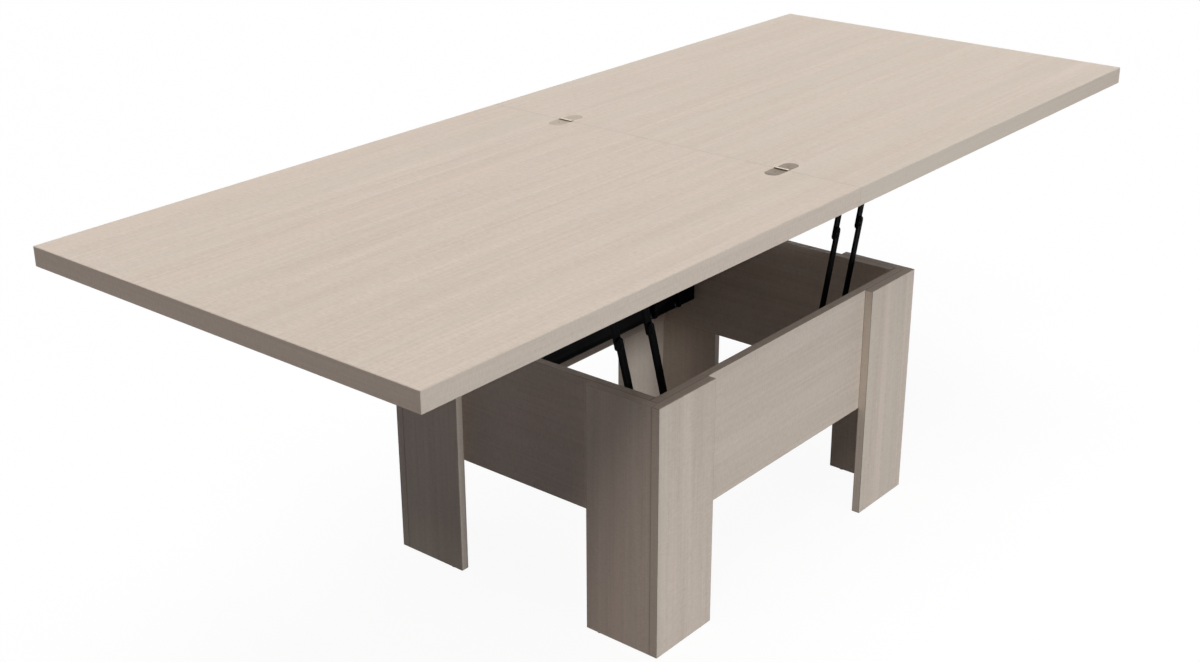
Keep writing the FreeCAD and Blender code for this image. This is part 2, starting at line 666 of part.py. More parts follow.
def hinge_plate(end, y):
    own, others = ([LOW, HIGH], [MIDDLE_ROOM]) if end < 0 else ([MIDDLE], [LOW_ROOM, HIGH_ROOM])
    x = f"{end} * hinge_screw"
    plate = cut(half_plate(end, y, "0", "hinge_thickness"),
                [knuckle(*pair, y, "knuckle_room") for pair in others])
    solid = fuse([plate] + [knuckle(*pair, y, "knuckle_radius") for pair in own])
    sink_z = ("top_height - countersink", "top_height")
    return cut(solid, [
        knuckle(*WHOLE, y, "hinge_pin_radius + fit"),
        cone(x, y, sink_z, "screw_radius + fit", "screw_head_radius + fit"),
        rod("z", x, y, ("plate_bottom", "top_height"), "screw_radius + fit"),
    ])


def hinge_screw(end, y):
    x = f"{end} * hinge_screw"
    shank = rod("z", x, y, ("plate_bottom - hinge_screw_depth", "top_height - countersink"), "screw_radius")
    head = cone(x, y, ("top_height - countersink", "top_height"), "screw_radius", "screw_head_radius")
    return fuse([shank, head])


def leaf(end, more_holes):
    tools = list(more_holes)
    screw_x, screw_z = f"{end} * hinge_screw", ("plate_bottom - hinge_screw_depth", "plate_bottom")
    barrel_end = "hinge_width / 2 + hinge_pin_end + hinge_gap"
    for y in HINGE_Y:
        tools.append(half_plate(end, y, "hinge_gap", "hinge_thickness"))
        tools.append(knuckle(f"-({barrel_end})", barrel_end, y, "knuckle_room"))
        tools.append(rod("z", screw_x, y, screw_z, "screw_radius + fit"))
    leaf_x = span(end, "seam_gap / 2", "leaf_length")
    leaf_y = ("-top_width / 2", "top_width / 2")
    seam_end = "high" if end < 0 else "low"
    slab = panel(leaf_x, leaf_y, ("underside", "top_height"), "leaf_round", seam_end)
    return cut(slab, tools)


node(leaf(ENDS["left"], leaf_holes), "fixed_leaf")
node(leaf(ENDS["right"], []), "folding_leaf")
for name, end in (("fixed", ENDS["left"]), ("folding", ENDS["right"])):
    node(group([hinge_plate(end, y) for y in HINGE_Y]), f"hinge_plates_{name}")
    node(group([hinge_screw(end, y) for y in HINGE_Y]), f"hinge_screws_{name}")
node(group([knuckle(*WHOLE, y, "hinge_pin_radius") for y in HINGE_Y]), "hinge_pins")

doc.recompute()

failed = [thing.Name for thing in doc.Objects if {"Invalid", "Error"} & set(thing.State)]
if failed:
    raise RuntimeError(f"objects that did not compute: {failed}")
for thing in nodes:
    if thing.Shape.isNull() or not thing.Shape.isValid() or not thing.Shape.Solids:
        raise RuntimeError(f"{thing.Label} has no sound solid")

os.makedirs("parts", exist_ok=True)
for thing in nodes:
    thing.Shape.exportStep(f"parts/{thing.Label}.step")
    print(f"{thing.Label}: {len(thing.Shape.Solids)} solids, {thing.Shape.Volume / 1000:.2f} cm3")
print(f"{len(nodes)} nodes")
for name in ("drop", "shift", "rise", "reach", "lean", "pivot_outer", "pivot_height", "upper_pivot"):
    print(f"{name} {number(name):.4f}")
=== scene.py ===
# %% [markdown]
# # A table that rises from coffee height to dining height
#
# The table has a wooden base, four pairs of swinging steel arms and a top of two leaves. This lesson gives it
# its finish: pale ash laminate on the boards, black powder coat on the steelwork and satin metal on the
# hinges. The construction comes from a CAD model, which loads as a fixed frame. Nothing in it is moved here,
# because every hole, pin and joint axis already fits. A piece whose shape is plain in the CAD model, such as
# a screw without its cross slot, is modelled again in its place.

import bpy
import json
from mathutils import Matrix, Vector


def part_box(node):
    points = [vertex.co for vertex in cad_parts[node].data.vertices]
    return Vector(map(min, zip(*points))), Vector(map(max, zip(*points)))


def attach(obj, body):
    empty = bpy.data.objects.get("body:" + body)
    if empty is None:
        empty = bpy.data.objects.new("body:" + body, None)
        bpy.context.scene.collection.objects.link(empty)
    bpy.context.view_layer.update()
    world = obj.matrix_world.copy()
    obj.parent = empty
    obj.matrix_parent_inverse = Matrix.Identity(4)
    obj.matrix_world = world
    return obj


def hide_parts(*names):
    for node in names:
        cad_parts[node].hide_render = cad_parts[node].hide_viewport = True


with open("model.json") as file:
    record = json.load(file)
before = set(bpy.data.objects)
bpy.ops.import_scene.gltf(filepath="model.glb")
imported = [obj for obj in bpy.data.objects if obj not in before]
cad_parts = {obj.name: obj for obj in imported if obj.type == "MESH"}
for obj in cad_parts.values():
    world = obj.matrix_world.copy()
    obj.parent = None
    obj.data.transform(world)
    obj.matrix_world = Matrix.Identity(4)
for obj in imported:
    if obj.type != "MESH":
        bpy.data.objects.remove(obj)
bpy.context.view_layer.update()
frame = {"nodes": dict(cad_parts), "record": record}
nodes = frame["nodes"]

# %% [markdown]
# ## The camera
#
# The picture looks down along the top from its left front corner. A lens is easiest to match by its focal
# length in pixels: fitted to the corners of the table it is about 1700 px in a picture 1200 px wide. Blender
# wants it in millimetres on a sensor 36 mm wide, so it is scaled by 36 / 1200. The direction is written as a
# heading, a tilt and a slight roll, because those are the three turns a photographer makes.

# %% Place the camera
import math

import bpy
from mathutils import Euler, Matrix

PICTURE_WIDTH = 1200
SENSOR_WIDTH = 36.0
FOCAL_PIXELS = 1702.0
CAMERA_PLACE = (-2.2847, -1.7365, 1.5974)
HEADING, TILT, ROLL = 0.6891, 0.4008, 0.0031

aim = Euler((math.pi/2 - TILT, 0, HEADING - math.pi/2)).to_matrix() @ Matrix.Rotation(-ROLL, 3, "Z")
bpy.ops.object.camera_add(location=CAMERA_PLACE, rotation=aim.to_euler())
camera = bpy.context.object
camera.name = "photo_camera"
camera.data.sensor_width = SENSOR_WIDTH
camera.data.lens = FOCAL_PIXELS*SENSOR_WIDTH/PICTURE_WIDTH
bpy.context.scene.camera = camera
bpy.context.scene.view_settings.view_transform = "Standard"
print(f"camera with a {camera.data.lens:.1f} mm lens, {camera.location.length:.2f} m from the origin")

# %% [markdown]
# ## Colours as a screen shows them
#
# A painter names a colour by its three numbers on a screen, 0 to 255. A shader reckons in linear light, where
# twice the number is twice the light. The curve between the two has a straight piece near black and a power
# above it. It is applied in one place, here, so that every colour below can be written as it looks.

# %% Convert colours
SCREEN_FULL = 255
STRAIGHT_END, STRAIGHT_SLOPE = 0.04045, 12.92
CURVE_OFFSET, CURVE_POWER = 0.055, 2.4


def channel(value):
    """One of a colour's three screen numbers, in linear light."""
    share = value/SCREEN_FULL
    if share <= STRAIGHT_END:
        return share/STRAIGHT_SLOPE
    return ((share + CURVE_OFFSET)/(1 + CURVE_OFFSET))**CURVE_POWER


def linear(red, green, blue):
    """A colour as it is read from a screen, in the linear light that shaders use."""
    return (channel(red), channel(green), channel(blue), 1.0)


print(f"half of a screen's range is {channel(SCREEN_FULL/2):.3f} of its light")

# %% [markdown]
# ## Writing shader maths as sums
#
# A procedural finish is arithmetic: a streak minus a pore, times a mask. Clicking Math nodes together hides
# that, so a small class wraps one socket and gives it the usual signs. Each sign adds one Math node to the
# tree that owns the socket.

# %% Wrap a socket


class Field:
    """A number that changes over a surface."""

    def __init__(self, owner, socket):
        self.owner = owner
        self.socket = socket

    def math(self, operation, *values, clamp=False):
        made = self.owner.node("ShaderNodeMath", {"operation": operation, "use_clamp": clamp}, *values)
        return Field(self.owner, made.outputs[0])

    def __add__(self, other):
        return self.math("ADD", self, other)

    def __sub__(self, other):
        return self.math("SUBTRACT", self, other)

    def __rsub__(self, other):
        return self.math("SUBTRACT", other, self)

    def __mul__(self, other):
        return self.math("MULTIPLY", self, other)

    def __abs__(self):
        return self.math("ABSOLUTE", self)

    def above(self, limit):
        return self.math("GREATER_THAN", self, limit)

    def least(self, other):
        return self.math("MINIMUM", self, other)

    def most(self, other):
        return self.math("MAXIMUM", self, other)

    def clamped(self):
        return self.math("ADD", self, 0.0, clamp=True)

    def step(self, low, high):
        """Rises smoothly from 0 at low to 1 at high."""
        made = self.owner.node("ShaderNodeMapRange", {"interpolation_type": "SMOOTHSTEP"}, self, low, high)
        return Field(self.owner, made.outputs[0])

    __radd__ = __add__
    __rmul__ = __mul__


print("a field takes the signs + - * and knows", ", ".join(name for name in vars(Field) if name[0] != "_"))

# %% [markdown]
# ## Materials under construction
#
# A material is a tree of nodes, and so is the world around the table. `ShaderTree` makes any node of a tree:
# first its settings, then the numbers or links of its sockets. The Mix node has sockets for numbers, vectors
# and colours, and the four constants say which of them a blend of colours needs. `Finish` is the tree of a
# material. It adds what finishes have in common: where a point lies on its piece, which way the surface faces
# there, soft noise, a bump, and a way to paint the shader's own sockets.

# %% Wrap trees and materials
MIX_SHARE, MIX_FIRST, MIX_SECOND, MIX_RESULT = 0, 6, 7, 2


class ShaderTree:
    """A tree of shader nodes under construction."""

    def __init__(self, tree):
        self.tree = tree

    def node(self, kind, settings, *values, **named):
        made = self.tree.nodes.new(kind)
        for name, setting in settings.items():
            setattr(made, name, setting)
        for socket, value in zip(made.inputs, values):
            self.feed(socket, value)
        for name, value in named.items():
            self.feed(made.inputs[name], value)
        return made

    def feed(self, socket, value):
        if isinstance(value, Field):
            value = value.socket
        if isinstance(value, bpy.types.NodeSocket):
            self.tree.links.new(value, socket)
        else:
            socket.default_value = value

    def blend(self, share, first, second):
        """The first colour where the share is 0, the second where it is 1."""
        made = self.node("ShaderNodeMix", {"data_type": "RGBA"})
        self.feed(made.inputs[MIX_SHARE], share)
        self.feed(made.inputs[MIX_FIRST], first)
        self.feed(made.inputs[MIX_SECOND], second)
        return made.outputs[MIX_RESULT]


class Finish(ShaderTree):
    """A material under construction."""

    def __init__(self, name):
        self.material = bpy.data.materials.new(name)
        self.material.use_nodes = True
        super().__init__(self.material.node_tree)
        self.shader = self.tree.nodes["Principled BSDF"]

    def axes(self, output):
        source = self.node("ShaderNodeTexCoord", {})
        split = self.node("ShaderNodeSeparateXYZ", {}, source.outputs[output])
        return [Field(self, socket) for socket in split.outputs]

    def place(self):
        """Object coordinates, axis by axis, in metres."""
        return self.axes("Object")

    def facing(self):
        """The direction that the surface faces on the piece, axis by axis."""
        return self.axes("Normal")

    def noise(self, x, y, z, detail=2.0, roughness=0.5):
        """Soft noise about zero. The three numbers are places, in noise cells."""
        where = self.node("ShaderNodeCombineXYZ", {}, x, y, z)
        made = self.node("ShaderNodeTexNoise", {}, Vector=where.outputs[0], Scale=1.0, Detail=detail,
                         Roughness=roughness)
        return Field(self, made.outputs[0]) - 0.5

    def mottle(self, cells, detail=2.0):
        """Soft noise about zero, with so many cells to the metre along X, Y and Z."""
        return self.noise(*(axis*count for axis, count in zip(self.place(), cells)), detail)

    def bump(self, height, distance, strength):
        made = self.node("ShaderNodeBump", {}, Height=height, Distance=distance, Strength=strength)
        self.feed(self.shader.inputs["Normal"], made.outputs[0])

    def paint(self, **sockets):
        """Sets the shader's own sockets, with _ for a blank in their names."""
        for name, value in sockets.items():
            self.feed(self.shader.inputs[name.replace("_", " ")], value)


def dress(node, finish):
    """Put a finish on a CAD node."""
    slots = nodes[node].data.materials
    slots.clear()
    slots.append(finish.material)


print("a finish knows", ", ".join(name for name in dir(Finish) if name[0] != "_"))

# %% [markdown]
# ## Pale ash laminate
#
# The boards are chipboard with a printed paper face, pressed with a fine texture. What the eye reads as wood
# is a stack of patterns at different sizes: wide bands that lean to rose or to grey, soft streaks, narrow
# lines, dark pores no wider than a hair, and a faint weave across them. An image could show all of that, but
# it would repeat and blur. Noise that is stretched along the grain gives the same stack at any distance. So a
# pattern is written as its number of cells to the metre, along the grain and across it.
#
# The ends of a board carry an edge band, whose grain follows the edge. There the surface faces along the
# grain, with more than 0.7 of its direction, so the shader swaps the two directions. A hairline of glue shows
# where the band meets the face. The narrow sides of the base boards carry painted shade along the joints: a
# dark line that stands in for the shadow in the gap between boards.

# %% Mix the laminate
X, Y, Z = 0, 1, 2
FACES_ALONG = 0.7
ASH_PALE, ASH_DEEP = linear(215, 201, 187), linear(193, 178, 163)
ASH_GREY, ASH_ROSE = linear(203, 195, 181), linear(211, 192, 179)
ASH_PORE = linear(148, 131, 116)
# JOINT_SHADE is painted shade: a dark line along the joints in place of the shadow in the gap between boards.
GLUE_LINE, JOINT_SHADE = linear(120, 105, 92), linear(70, 60, 52)
BAND_THICKNESS, GLUE_WIDTH, JOINT_WIDTH = 0.0010, 0.0003, 0.0014
BANDS = {"along": 0.5, "across": 17.0, "detail": 2.0}
STREAKS = {"along": 0.9, "across": 30.0, "detail": 3.0}
LINES = {"along": 4.0, "across": 210.0, "detail": 3.0, "roughness": 0.6}
WEAVE = {"along": 320.0, "across": 110.0, "detail": 3.0, "roughness": 0.6}
PORES = {"along": 55.0, "across": 1300.0, "detail": 1.0}
PORE_FAINT, PORE_FULL = 0.14, 0.26
MEAN_TONE, STREAK_TONE, LINE_TONE, WEAVE_TONE = 0.55, 0.5, 1.2, 1.3
TINT_GAIN, PORE_SHARE, GLUE_SHARE = 4.0, 0.35, 0.5
LINE_RELIEF, WEAVE_RELIEF, PORE_RELIEF = 0.4, 0.25, 0.5
ALONG_SHIFT, ACROSS_SHIFT = 7.3, 3.1


def middle(first, second, third):
    """The middle one of three fields."""
    return first.least(second).most(first.most(second).least(third))


def laminate(board, grain, order, banding, tint, joint_shade):
    """Press laminate on a board. The order shifts it to its own place in the noise."""
    low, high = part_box(board)
    centre, half = (low + high)/2, (high - low)/2
    thin = min((X, Y, Z), key=lambda axis: half[axis])
    (wide,) = {X, Y, Z} - {grain, thin}
    finish = Finish(f"{board}_laminate")
    place, facing = finish.place(), finish.facing()
    on_end = abs(facing[grain]).above(FACES_ALONG)
    on_face = abs(facing[thin]).above(FACES_ALONG)
    lengthwise = place[grain] + (place[wide] - place[grain])*on_end + ALONG_SHIFT*order
    crosswise = place[wide] + (place[grain] - place[wide])*on_end + ACROSS_SHIFT*order

    def figure(along, across, **settings):
        return finish.noise(lengthwise*along, crosswise*across, place[thin]*across, **settings)

    bands, streaks, lines, weave = (figure(**pattern) for pattern in (BANDS, STREAKS, LINES, WEAVE))
    pores = figure(**PORES).step(PORE_FAINT, PORE_FULL)
    tone = MEAN_TONE + bands*banding + streaks*(STREAK_TONE + banding) + lines*LINE_TONE + weave*WEAVE_TONE
    wood = finish.blend(tone.clamped(), ASH_DEEP, ASH_PALE)
    wood = finish.blend((bands*TINT_GAIN).clamped()*tint, wood, ASH_ROSE)
    wood = finish.blend((bands*-TINT_GAIN).clamped()*tint, wood, ASH_GREY)
    wood = finish.blend(pores*PORE_SHARE, wood, ASH_PORE)

    from_edge = middle(*(half[axis] - abs(place[axis] - centre[axis]) for axis in (X, Y, Z)))
    glue = 1 - abs(from_edge - BAND_THICKNESS).step(GLUE_WIDTH/2, GLUE_WIDTH)
    joint = 1 - from_edge.step(JOINT_WIDTH/2, JOINT_WIDTH)
    wood = finish.blend(glue*on_face*GLUE_SHARE, wood, GLUE_LINE)
    # Painted shade along the joints of the narrow sides, in place of the shadow in the gap between boards.
    wood = finish.blend(joint*(1 - on_face)*(1 - on_end)*joint_shade, wood, JOINT_SHADE)

    finish.paint(Base_Color=wood, Roughness=0.55 + lines*0.2, Specular_IOR_Level=0.3)
    relief = lines*LINE_RELIEF + weave*WEAVE_RELIEF - pores*PORE_RELIEF
    finish.bump(relief, distance=0.0003, strength=0.35)
    dress(board, finish)


print(f"pores {1000/PORES['across']:.1f} mm wide on bands {1000/BANDS['across']:.0f} mm wide")

# %% [markdown]
# ## Boards and their grain
#
# Each board has its own grain direction and its own place in the noise, so that no streak runs on from one
# board to the next. The grain of the leaves and aprons runs along them, and that of the legs runs upwards.
# The legs are the most strongly banded boards, and the aprons are almost plain.

# %% Press the laminate on the boards
LEAF = {"banding": 0.2, "tint": 0.45, "joint_shade": 0.0}
APRON = {"banding": 0.3, "tint": 0.2, "joint_shade": 0.6}
LEG = {"banding": 1.1, "tint": 0.5, "joint_shade": 0.6}

boards = [("fixed_leaf", X, LEAF), ("folding_leaf", X, LEAF), ("apron_front", X, APRON),
          ("apron_back", X, APRON), ("apron_left", Y, APRON), ("apron_right", Y, APRON)]
for corner in ("front_left", "front_right", "back_left", "back_right"):
    boards.append((f"leg_face_{corner}", Z, LEG))
    boards.append((f"leg_side_{corner}", Z, LEG))
for order, (board, grain, look) in enumerate(boards):
    laminate(board, grain, order, **look)
print(f"laminate on {len(boards)} boards")

# %% [markdown]
# ## Black powder coat
#
# The arms and rails are mild steel, sprayed with black powder and baked. The coat is matt, and seen close it
# has the fine skin of an orange. A little noise in roughness and bump gives that skin, and the colour stays
# almost black.

# %% Coat the steelwork
COAT_BLACK, COAT_WORN = linear(4, 4, 5), linear(8, 8, 8)
COAT_SKIN, COAT_CLOUD = (900.0, 900.0, 900.0), (30.0, 30.0, 30.0)
SLOT_OF = {part["node"]: part["material_slot"] for part in frame["record"]["subparts"]}


def powder_coat():
    finish = Finish("powder_coat")
    skin = finish.mottle(COAT_SKIN)
    cloud = finish.mottle(COAT_CLOUD, detail=3.0)
    colour = finish.blend((0.5 + cloud*1.5).clamped(), COAT_BLACK, COAT_WORN)
    finish.paint(Base_Color=colour, Roughness=0.55 + cloud*0.3, Specular_IOR_Level=0.02)
    finish.bump(skin, distance=0.0002, strength=0.2)
    return finish


finishes = {"black_steel": powder_coat()}
print(f"powder coat for {list(SLOT_OF.values()).count('black_steel')} nodes")

# %% [markdown]
# ## Hinge plates and screws
#
# The hinges have a satin warm grey plate, brushed along their length: noise stretched along X gives the
# strokes. The two grooves beside the barrel carry painted shade, and the barrel itself carries a painted
# highlight. The plates of the back hinge are paler than those of the front one. The screws are browned zinc,
# slightly blotched.

# %% Mix the bare metals
HINGE_PALE, HINGE_DEEP = linear(150, 137, 123), linear(110, 98, 87)
# The pale colour is a painted highlight for the barrel, and the dark one is painted shade for its grooves.
HINGE_PAINTED_HIGHLIGHT, HINGE_PAINTED_SHADE = linear(206, 195, 180), linear(52, 44, 38)
# The plates of the back hinge are paler than those of the front one.
HINGE_BACK_PALE = linear(196, 184, 170)
BACK_PALE_SHARE, HIGHLIGHT_SHARE, GROOVE_SHADE_SHARE = 0.5, 0.7, 0.8
BARREL_HALF, GROOVE_HALF, FULL_WITHIN = 0.0024, 0.0048, 0.8
ZINC_PALE, ZINC_DEEP = linear(112, 104, 96), linear(84, 77, 70)
BRUSH_STROKES, BRUSH_CLOUD = (60.0, 2600.0, 2600.0), (90.0, 90.0, 90.0)


def brushed_strokes(finish):
    """Brush a metal along X. Gives the strokes, and a tone from 0 to 1 that is blotched as well."""
    strokes, cloud = finish.mottle(BRUSH_STROKES), finish.mottle(BRUSH_CLOUD)
    finish.bump(strokes, distance=0.00005, strength=0.2)
    return strokes, (0.5 + strokes*0.9 + cloud*0.8).clamped()


def hinge_satin():
    finish = Finish("hinge_satin")
    strokes, tone = brushed_strokes(finish)
    place = finish.place()
    from_seam, at_back = abs(place[X]), place[Y].above(0.0)
    # Painted highlight on the barrel and painted shade in the grooves beside it.
    barrel = 1 - from_seam.step(BARREL_HALF*FULL_WITHIN, BARREL_HALF)
    groove = (1 - from_seam.step(GROOVE_HALF*FULL_WITHIN, GROOVE_HALF)) - barrel
    metal = finish.blend(tone, HINGE_DEEP, HINGE_PALE)
    metal = finish.blend(at_back*BACK_PALE_SHARE, metal, HINGE_BACK_PALE)
    metal = finish.blend(barrel*HIGHLIGHT_SHARE, metal, HINGE_PAINTED_HIGHLIGHT)
    metal = finish.blend(groove*GROOVE_SHADE_SHARE, metal, HINGE_PAINTED_SHADE)
    finish.paint(Base_Color=metal, Metallic=1.0, Roughness=0.5 + strokes*0.25)
    return finish


def browned_zinc():
    finish = Finish("browned_zinc")
    strokes, tone = brushed_strokes(finish)
    metal = finish.blend(tone, ZINC_DEEP, ZINC_PALE)
    finish.paint(Base_Color=metal, Metallic=1.0, Roughness=0.45 + strokes*0.25)
    return finish


finishes["hinge_metal"] = hinge_satin()
finishes["zinc_steel"] = browned_zinc()
print(f"strokes {1000/BRUSH_STROKES[X]:.0f} mm long and {1000/BRUSH_STROKES[Y]:.1f} mm wide")

# %% [markdown]
# ## Plastic and dowels
#
# The glides and pads are moulded black plastic with a fine grain, and the dowels are plain beech, whose grain
# runs along Y. With these the list of finishes is complete, and each CAD node gets the one that its slot
# asks for.

# %% Mix the plastic and the beech
PLASTIC_BLACK, PLASTIC_GREY = linear(26, 26, 27), linear(38, 38, 39)
BEECH_PALE, BEECH_DEEP = linear(222, 190, 150), linear(196, 158, 116)
PLASTIC_GRAIN, BEECH_GRAIN = (1500.0, 1500.0, 1500.0), (900.0, 60.0, 900.0)


def moulded_plastic():
    finish = Finish("moulded_plastic")
    grain = finish.mottle(PLASTIC_GRAIN, detail=1.0)
    colour = finish.blend((0.5 + grain).clamped(), PLASTIC_BLACK, PLASTIC_GREY)
    finish.paint(Base_Color=colour, Roughness=0.6 + grain*0.2)
    finish.bump(grain, distance=0.0001, strength=0.25)
    return finish


def beech_wood():
    finish = Finish("beech_wood")
    grain = finish.mottle(BEECH_GRAIN, detail=3.0)
    colour = finish.blend((0.5 + grain*1.6).clamped(), BEECH_DEEP, BEECH_PALE)
    finish.paint(Base_Color=colour, Roughness=0.65 + grain*0.1)
    finish.bump(grain, distance=0.0001, strength=0.2)
    return finish


finishes["black_plastic"] = moulded_plastic()
finishes["beech"] = beech_wood()
for node, slot in SLOT_OF.items():
    if slot in finishes:
        dress(node, finishes[slot])
print(f"{len(finishes)} finishes for the metal, plastic and beech")

# %% [markdown]
# ## Tools of the bench
#
# The pieces that follow take the place of CAD nodes whose shape is only a stand-in. Four tools serve them
# all. `only` selects the pieces that the next operator should act on, because an operator acts on all that
# is selected. `pick` does the same for the faces or edges of one piece. It takes a test, such as whether a
# face is level, with more than 0.9 of its direction along Z, or upright, with less than 0.1. `merged_copy`
# gives a CAD node's mesh a life of its own: it arrives as loose triangles, and merging their shared corners
# makes it one skin. `stand_for` hands a finished piece its finish, its body and the node that it replaces.

# %% Make the tools
MERGE_DISTANCE = 1e-6
SMOOTH_ANGLE = math.radians(35)
LEVEL, UPRIGHT = 0.9, 0.1
BODY_OF = {node: body for body, members in frame["record"]["behaviour"]["bodies"].items() for node in members}


def only(*pieces):
    """Leave just these pieces selected, with the first one active."""
    bpy.ops.object.select_all(action="DESELECT")
    for piece in pieces:
        piece.select_set(True)
    bpy.context.view_layer.objects.active = pieces[0]


def pick(piece, kind, wanted):
    """Enter edit mode with just the wanted faces or edges selected."""
    only(piece)
    bpy.ops.object.mode_set(mode="EDIT")
    bpy.ops.mesh.select_mode(type=kind)
    bpy.ops.mesh.select_all(action="DESELECT")
    bpy.ops.object.mode_set(mode="OBJECT")
    for item in (piece.data.polygons if kind == "FACE" else piece.data.edges):
        item.select = wanted(item)
    bpy.ops.object.mode_set(mode="EDIT")


def merged_copy(node, name):
    """A copy of a CAD node as one skin, selected and active."""
    copy = bpy.data.objects.new(name, nodes[node].data.copy())
    bpy.context.scene.collection.objects.link(copy)
    only(copy)
    bpy.ops.mesh.customdata_custom_splitnormals_clear()
    bpy.ops.object.mode_set(mode="EDIT")
    bpy.ops.mesh.select_all(action="SELECT")
    bpy.ops.mesh.remove_doubles(threshold=MERGE_DISTANCE)
    bpy.ops.object.mode_set(mode="OBJECT")
    return copy


def stand_for(piece, node):
    """Let a finished piece take the place of a CAD node."""
    finish = finishes[SLOT_OF[node]]
    piece.data.materials.clear()
    piece.data.materials.append(finish.material)
    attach(piece, BODY_OF[node])
    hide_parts(node)


print(f"{len(BODY_OF)} nodes on {len(set(BODY_OF.values()))} bodies")

# %% [markdown]
# ## Flat bars, rails and plates with eased edges
#
# Bars are cut from flat steel and tumbled, so no edge is left sharp, and the coat rounds it further. In the
# picture such an edge is a thin light line, and without it steel looks like card. The CAD shape is right
# apart from that. So each bar, rail, cross bar and hinge plate is a merged copy whose flat triangles are
# dissolved into whole faces. Then a Bevel modifier, limited by angle, eases every true edge and leaves the
# facets of the round ends alone.

# %% Ease the steel
COPLANAR = math.radians(0.5)
TRUE_EDGE = math.radians(40)
STEEL_EASE, HINGE_EASE, EASE_STEPS = 0.0004, 0.0002, 2
FLAT_STEEL = ("_bar_", "base_rail_front", "base_rail_back", "_angle_front", "_angle_back")


def eased(node, width):
    """The piece that stands for a node of flat metal."""
    piece = merged_copy(node, f"{node}_eased")
    bpy.ops.object.mode_set(mode="EDIT")
    bpy.ops.mesh.select_all(action="SELECT")
    bpy.ops.mesh.dissolve_limited(angle_limit=COPLANAR)
    bpy.ops.object.mode_set(mode="OBJECT")
    bevel = piece.modifiers.new("eased_edges", "BEVEL")
    bevel.width = width
    bevel.segments = EASE_STEPS
    bevel.limit_method = "ANGLE"
    bevel.angle_limit = TRUE_EDGE
    bpy.ops.object.modifier_apply(modifier=bevel.name)
    bpy.ops.object.shade_smooth_by_angle(angle=SMOOTH_ANGLE)
    stand_for(piece, node)
    return piece


flat_nodes = [node for node in nodes if any(word in node for word in FLAT_STEEL)]
steel = [eased(node, STEEL_EASE) for node in flat_nodes]
plates = [eased(node, HINGE_EASE) for node in ("hinge_plates_fixed", "hinge_plates_folding")]
faces = sum(len(piece.data.polygons) for piece in steel + plates)
print(f"eased {len(steel)} flat steel pieces and {len(plates)} sets of hinge plates, {faces} faces")

# %% [markdown]
# ## A lathe
#
# Pins, rivets, washers, screws and glides are turned parts: one outline, swept round an axis. Spin does the
# same in Blender. A plane is merged to a single point, the point is extruded along the outline, and the line
# is spun about Z. The outline is a list of (radius, height) pairs from the foot to the head, and a quarter
# of an ellipse stands for each dome.

# %% Make the lathe
MM = 0.001
SPIN_STEPS = 32
DOME_STEPS = 5


def dome(rim, crown):
    """Points of a quarter ellipse, upright at the rim and level at the crown."""
    points = []
    for step in range(DOME_STEPS + 1):
        turn = math.pi/2*step/DOME_STEPS
        radius = crown[0] + (rim[0] - crown[0])*math.cos(turn)
        height = rim[1] + (crown[1] - rim[1])*math.sin(turn)
        points.append((radius, height))
    return points


def turned(name, outline):
    """A piece at the origin, turned about Z."""
    bpy.ops.object.select_all(action="DESELECT")
    bpy.ops.mesh.primitive_plane_add(size=MM)
    piece = bpy.context.object
    piece.name = name
    bpy.ops.object.mode_set(mode="EDIT")
    bpy.ops.mesh.select_mode(type="VERT")
    bpy.ops.mesh.select_all(action="SELECT")
    bpy.ops.mesh.merge(type="CENTER")
    bpy.ops.transform.translate(value=(outline[0][0], 0, outline[0][1]))
    for (radius, height), (next_radius, next_height) in zip(outline, outline[1:]):
        step = (next_radius - radius, 0, next_height - height)
        bpy.ops.mesh.extrude_vertices_move(TRANSFORM_OT_translate={"value": step})
    bpy.ops.mesh.select_all(action="SELECT")
    bpy.ops.mesh.spin(steps=SPIN_STEPS, angle=2*math.pi, center=(0, 0, 0), axis=(0, 0, 1))
    bpy.ops.mesh.select_all(action="SELECT")
    bpy.ops.mesh.remove_doubles(threshold=MERGE_DISTANCE)
    bpy.ops.mesh.normals_make_consistent(inside=False)
    bpy.ops.object.mode_set(mode="OBJECT")
    return piece


print(f"a lathe of {SPIN_STEPS} steps")

# %% [markdown]
# ## Places for the turned parts
#
# The places come from the CAD model. A node with several solids is copied, merged and separated into its
# loose parts, and the box of each part tells where it is. A turned part is as wide as it is deep, so the
# axis is the direction that differs. Which way the part points along it can't be read from a box. That is
# given as a sense: outward or upward, or the other way.

# %% Find the places
from mathutils import Vector

OUTWARD, INWARD, UP, DOWN = 1, -1, 1, -1


def solids(node):
    """Lowest and highest corner of each separate solid of a CAD node."""
    merged_copy(node, "solids")
    bpy.ops.object.mode_set(mode="EDIT")
    bpy.ops.mesh.separate(type="LOOSE")
    bpy.ops.object.mode_set(mode="OBJECT")
    corners = [solid.bound_box for solid in bpy.context.selected_objects]
    boxes = [(Vector(corner[0]), Vector(corner[6])) for corner in corners]
    bpy.ops.object.delete()
    return boxes


def turning_axis(box):
    size = box[1] - box[0]
    return min((X, Y, Z), key=lambda axis: abs(size[axis - 1] - size[axis - 2]))


def seat(box, axis, sense):
    """Foot and direction of a part. Sense 1 leads up or away from the table's middle, -1 the other way."""
    centre, size = (box[0] + box[1])/2, box[1] - box[0]
    direction = Vector((0, 0, 0))
    direction[axis] = sense*math.copysign(1, centre[axis])
    return centre - direction*size[axis]/2, direction


pin_boxes = solids("lift_lower_pins")
print(f"{len(pin_boxes)} lower pins of the lift, along {'XYZ'[turning_axis(pin_boxes[0])]}")

# %% [markdown]
# ## One model, many copies
#
# What repeats is modelled once. The model is copied to each place, with its Z axis turned to the part's own
# direction, and the copies are joined to one piece. Then location and rotation are applied, so that the piece
# sits at the origin as a CAD node does and its place is in its mesh.

# %% Set out copies


